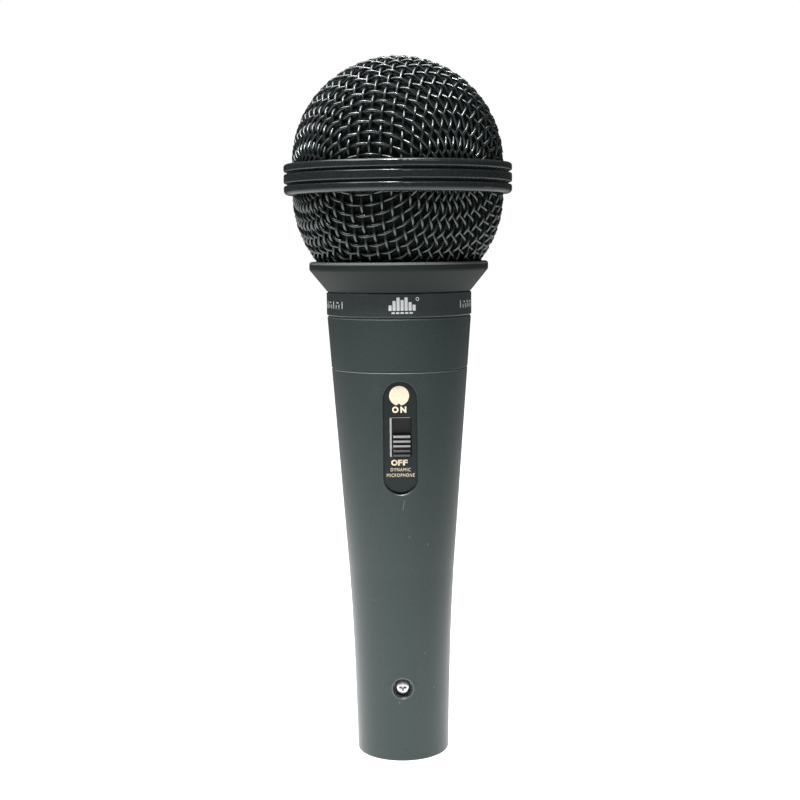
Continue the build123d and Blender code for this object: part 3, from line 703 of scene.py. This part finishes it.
TICK_PITCH, TICK_TALL, TICK_SHORT, TICK_W = 1.25 * MM, 1.7 * MM, 0.9 * MM, 0.26 * MM
TICKS_EACH_SIDE, LEFT_START, RIGHT_START = 12, 15.3 * MM, 17.1 * MM
BRIDGE_L, BRIDGE_Y = 0.8 * MM, 0.55 * MM
band_print = [emblem_form]
for start, way in ((LEFT_START, -1), (RIGHT_START, 1)):
    for k in range(TICKS_EACH_SIDE):
        tall = TICK_TALL if k % 3 == 0 else TICK_SHORT
        band_print.append(slab(TICK_W, tall, way * (start + k * TICK_PITCH), (tall - TICK_TALL) / 2))
        if k % 3 == 1:
            between = start + (k + 0.5) * TICK_PITCH
            band_print.append(slab(BRIDGE_L, TICK_W, way * between, BRIDGE_Y))
band_marks = together(band_print)
for corner in band_marks.verts:
    turn, radius = corner.co.x / BAND_R, BAND_R + corner.co.z
    corner.co = (radius * math.sin(turn), -radius * math.cos(turn), band_z + corner.co.y)
white_ink = finish(
    "white_ink", (0.68, 0.70, 0.70), (0.78, 0.80, 0.80), (0.4, 0.55), 0.4 * MM, lift=0.003 * MM)
make_piece("band_marks", band_marks, white_ink, "band", crease=30)

# ---------------------------------------------------------------- collar
# Flared threaded ring under the grille, cast, and finished in a duller, darker copy of the handle's
# paint, with a steel ring pressed in behind the edge of the woven wire.
collar_paint = finish(
    "collar_paint", (0.010, 0.014, 0.0135), (0.015, 0.020, 0.019), (0.56, 0.66), 0.35 * MM,
    lift=0.012 * MM)
shader_of(collar_paint).inputs["Specular IOR Level"].default_value = 0.2
COLLAR_EDGE_DOWN, COLLAR_HIGHLIGHT_WIDTH, COLLAR_HIGHLIGHT_STRENGTH = 0.25 * MM, 0.4 * MM, 0.9
# Painted highlight line along the collar's top rim.
paint_edge_highlight(collar_paint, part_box("collar")[1].z - COLLAR_EDGE_DOWN, COLLAR_HIGHLIGHT_WIDTH, COLLAR_HIGHLIGHT_STRENGTH)
coat(collar_paint, "collar")
coat(stamped_steel, "collar_clamp_ring", "grille_inner_ring")

# ---------------------------------------------------------------- foam lining
# Open-cell foam cup pressed against the inside of the wire, thinner where the steel ring holds it.
# It is moulded, then pushed in by hand, so its skin is uneven and it sits softly in the mesh.
foam_low, foam_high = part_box("foam_windscreen")
ring_low, ring_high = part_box("grille_inner_ring")
dome_centre, basket_centre = ring_high.z, ring_low.z
FOAM_R = foam_high.x - 0.22 * MM
FOAM_IN_R = FOAM_R - 2.1 * MM
RING_IN_R = ring_high.x - 1.25 * MM
LIP_OUT, LIP_IN, FOOT_UP = 0.15 * MM, 0.1 * MM, 0.1 * MM
DOME_STEPS, BASKET_STEPS, ROUND_STEPS = 24, 12, 120
foot_angle = math.asin((basket_centre - foam_low.z - FOOT_UP) / FOAM_R)
dome_arc = [math.radians(90 * k / DOME_STEPS) for k in range(DOME_STEPS + 1)]
basket_arc = [foot_angle * k / BASKET_STEPS for k in range(BASKET_STEPS + 1)]
skin = [(FOAM_R * math.sin(a), dome_centre + FOAM_R * math.cos(a)) for a in dome_arc[:-1]]
skin += [(FOAM_R, dome_centre + LIP_OUT), (RING_IN_R, dome_centre + LIP_IN),
         (RING_IN_R, (dome_centre + basket_centre) / 2), (RING_IN_R, basket_centre - LIP_IN),
         (FOAM_R, basket_centre - LIP_OUT)]
skin += [(FOAM_R * math.cos(a), basket_centre - FOAM_R * math.sin(a)) for a in basket_arc[1:]]
skin += [(FOAM_IN_R * math.cos(a), basket_centre - FOAM_IN_R * math.sin(a))
         for a in reversed(basket_arc)]
skin += [(FOAM_IN_R * math.sin(a), dome_centre + FOAM_IN_R * math.cos(a))
         for a in reversed(dome_arc)]
foam = spun(skin, ROUND_STEPS)
# The skin swells and sinks unevenly, finely and in broader waves.
FINE_L, FINE_SWELL, BROAD_L, BROAD_SWELL, SKIN_SUNK = 1.1 * MM, 0.07 * MM, 4 * MM, 0.05 * MM, 0.06 * MM
for spot in foam.verts:
    here = spot.co.copy()
    swell = noise.noise(here / FINE_L) * FINE_SWELL + noise.noise(here / BROAD_L) * BROAD_SWELL
    level = min(max(here.z, basket_centre), dome_centre)
    away = (here - Vector((0, 0, level))).normalized()
    spot.co = here + away * (swell - SKIN_SUNK)
foam_black = finish(
    "foam_black", (0.006, 0.007, 0.007), (0.016, 0.018, 0.018), (0.9, 1.0), 0.45 * MM,
    lift=0.3 * MM)
shader_of(foam_black).inputs["Specular IOR Level"].default_value = 0.1
foam_lining = make_piece("foam_lining", foam, foam_black, "grille", crease=60)
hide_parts("foam_windscreen")

# ---------------------------------------------------------------- woven wire, lower half
# The basket is steel wire woven square, drawn to a ball and painted black. Drawing shears the weave
# but keeps every wire's pitch, so the crossings form a net of equal sides on the ball.
WIRE_R, WAVE = 0.36 * MM, 0.36 * MM
NET_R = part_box("grille_dome")[1].x - WIRE_R - WAVE
STEPS_PER_CELL, LEAST_SPREAD = 5, 0.02


def drawn_net(pitch, azimuth, reach):
    """Directions of the crossings of a square weave drawn over a ball, from its top. Each next
    crossing mirrors the one behind it across the plane of its two neighbours."""
    step = pitch / NET_R
    turn = math.radians(azimuth)
    ahead = Vector((math.sin(turn), -math.cos(turn), 0))
    aside = Vector((math.cos(turn), math.sin(turn), 0))
    top = Vector((0, 0, 1))
    net = {}
    for k in range(-reach, reach + 1):
        net[0, k] = top * math.cos(k * step) + ahead * math.sin(k * step)
        net[k, 0] = top * math.cos(k * step) + aside * math.sin(k * step)
    for right in (1, -1):
        for down in (1, -1):
            for i in range(1, reach + 1):
                for j in range(1, reach + 1):
                    beside = net.get(((i - 1) * right, j * down))
                    above = net.get((i * right, (j - 1) * down))
                    behind = net.get(((i - 1) * right, (j - 1) * down))
                    if beside is None or above is None or behind is None:
                        continue
                    normal = beside.cross(above)
                    if normal.length < LEAST_SPREAD:
                        continue
                    normal.normalize()
                    net[i * right, j * down] = behind - normal * 2 * behind.dot(normal)
    return net


def unbroken(row, wanted, fewest):
    """The stretches of a row that are wanted throughout, without those that are too short."""
    stretches, held = [], []
    for member in row:
        if wanted(member):
            held.append(member)
        else:
            stretches.append(held)
            held = []
    stretches.append(held)
    return [stretch for stretch in stretches if len(stretch) >= fewest]


def wire_course(net, crossings, phase):
    """Places along one wire, round the ball's centre: a smooth curve through its crossings that
    goes over one and under the next."""
    course = []
    last = len(crossings) - 1
    for m in range(last):
        p0, p1 = net[crossings[max(m - 1, 0)]], net[crossings[m]]
        p2, p3 = net[crossings[m + 1]], net[crossings[min(m + 2, last)]]
        over = (sum(crossings[m]) + phase) % 2 * 2 - 1
        for s in range(STEPS_PER_CELL):
            t = s / STEPS_PER_CELL
            way = 0.5 * (2 * p1 + (p2 - p0) * t + (2 * p0 - 5 * p1 + 4 * p2 - p3) * t * t
                         + (3 * p1 - p0 - 3 * p2 + p3) * t ** 3)
            course.append(way.normalized() * (NET_R + over * WAVE * math.cos(math.pi * t)))
    return course


def woven_wires(name, pitch, azimuth, reach, phase, centre, low, high, upside_down=False):
    """One half of the grille between two heights, every wire as a round wire of its own."""
    net = drawn_net(pitch, azimuth, reach)
    lines = bpy.data.curves.new(name, "CURVE")
    lines.dimensions = "3D"
    lines.bevel_depth = WIRE_R
    lines.bevel_resolution = 2
    lines.use_fill_caps = True
    for warp in (True, False):
        for k in range(-reach, reach + 1):
            row = [((k, m) if warp else (m, k)) for m in range(-reach, reach + 1)]
            for crossings in unbroken(row, lambda key: key in net, 3):
                course = wire_course(net, crossings, phase + warp)
                for spot in course:
                    spot.z = centre + (-spot.z if upside_down else spot.z)
                for stretch in unbroken(course, lambda spot: low <= spot.z <= high, 4):
                    spline = lines.splines.new("POLY")
                    spline.points.add(len(stretch) - 1)
                    for point, spot in zip(spline.points, stretch):
                        point.co = (*spot, 1)
    drawn = bpy.data.objects.new(name, lines)
    bpy.context.scene.collection.objects.link(drawn)
    view = bpy.context.evaluated_depsgraph_get()
    mesh = bpy.data.meshes.new_from_object(drawn.evaluated_get(view))
    bpy.data.objects.remove(drawn)
    form = bmesh.new()
    form.from_mesh(mesh)
    bpy.data.meshes.remove(mesh)
    return form


wire_paint = finish(
    "wire_paint", (0.008, 0.010, 0.010), (0.015, 0.018, 0.018), (0.20, 0.30), 0.4 * MM,
    lift=0.006 * MM)
shader_of(wire_paint).inputs["Specular IOR Level"].default_value = 0.9
shader_of(wire_paint).inputs["Specular Tint"].default_value = (0.88, 1, 0.98, 1)
basket_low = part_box("grille_basket")[0].z + 0.3 * MM
basket_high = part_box("belt_ring")[0].z + 2.9 * MM
basket_form = woven_wires(
    "basket", pitch=2.4 * MM, azimuth=-19.5, reach=19, phase=1, centre=basket_centre,
    low=basket_low, high=basket_high, upside_down=True)
basket_wires = make_piece(
    "basket_wires", basket_form, wire_paint, "grille", crease=80)
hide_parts("grille_basket")

# ---------------------------------------------------------------- woven wire, upper half
# The dome is the same wire, drawn over a slightly coarser weave. Its edge and the basket's edge
# meet behind the belt.
dome_low, dome_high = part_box("belt_ring")[1].z - 2.0 * MM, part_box("grille_dome")[1].z + 1.0 * MM
dome_form = woven_wires(
    "dome", pitch=2.54 * MM, azimuth=-15, reach=18, phase=0, centre=dome_centre, low=dome_low,
    high=dome_high)
dome_wires = make_piece("dome_wires", dome_form, wire_paint, "grille", crease=80)
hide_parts("grille_dome")

# ---------------------------------------------------------------- belt
# Pressed steel belt with three beads, crimped round the joint of the two halves and enamelled
# glossy black.
belt_enamel = finish(
    "belt_enamel", (0.012, 0.015, 0.016), (0.017, 0.021, 0.022), (0.16, 0.22), 0.9 * MM,
    lift=0.0015 * MM)
coat(belt_enamel, "belt_ring")
